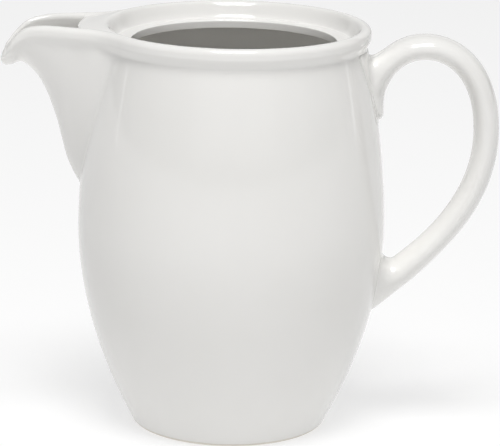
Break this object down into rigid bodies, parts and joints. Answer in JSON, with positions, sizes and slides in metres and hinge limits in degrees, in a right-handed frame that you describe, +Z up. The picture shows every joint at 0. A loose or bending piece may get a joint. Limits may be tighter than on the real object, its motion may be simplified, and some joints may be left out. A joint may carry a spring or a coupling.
{
  "type": "ceramic pitcher",
  "caption": "White glazed porcelain pitcher with a barrel body, rolled rim with a lid ledge, bridged pouring spout and ear handle.",
  "frame": {"origin": "centre of the standing plane, on the axis of the barrel", "axes": "+Z up along the barrel's axis; the spout points to -X and the handle to +X; Y runs across"},
  "size_m": [0.1728, 0.107, 0.1431],
  "materials": {
    "glaze": "clear gloss glaze over white porcelain",
    "bare_foot": "unglazed, ground smooth, matte"
  },
  "bodies": {
    "root": {"body": "glaze", "foot_ring": "bare_foot", "rim": "glaze", "lid_seat": "glaze", "spout": "glaze", "spout_bridge": "glaze", "handle": "glaze"}
  },
  "joints": []
}
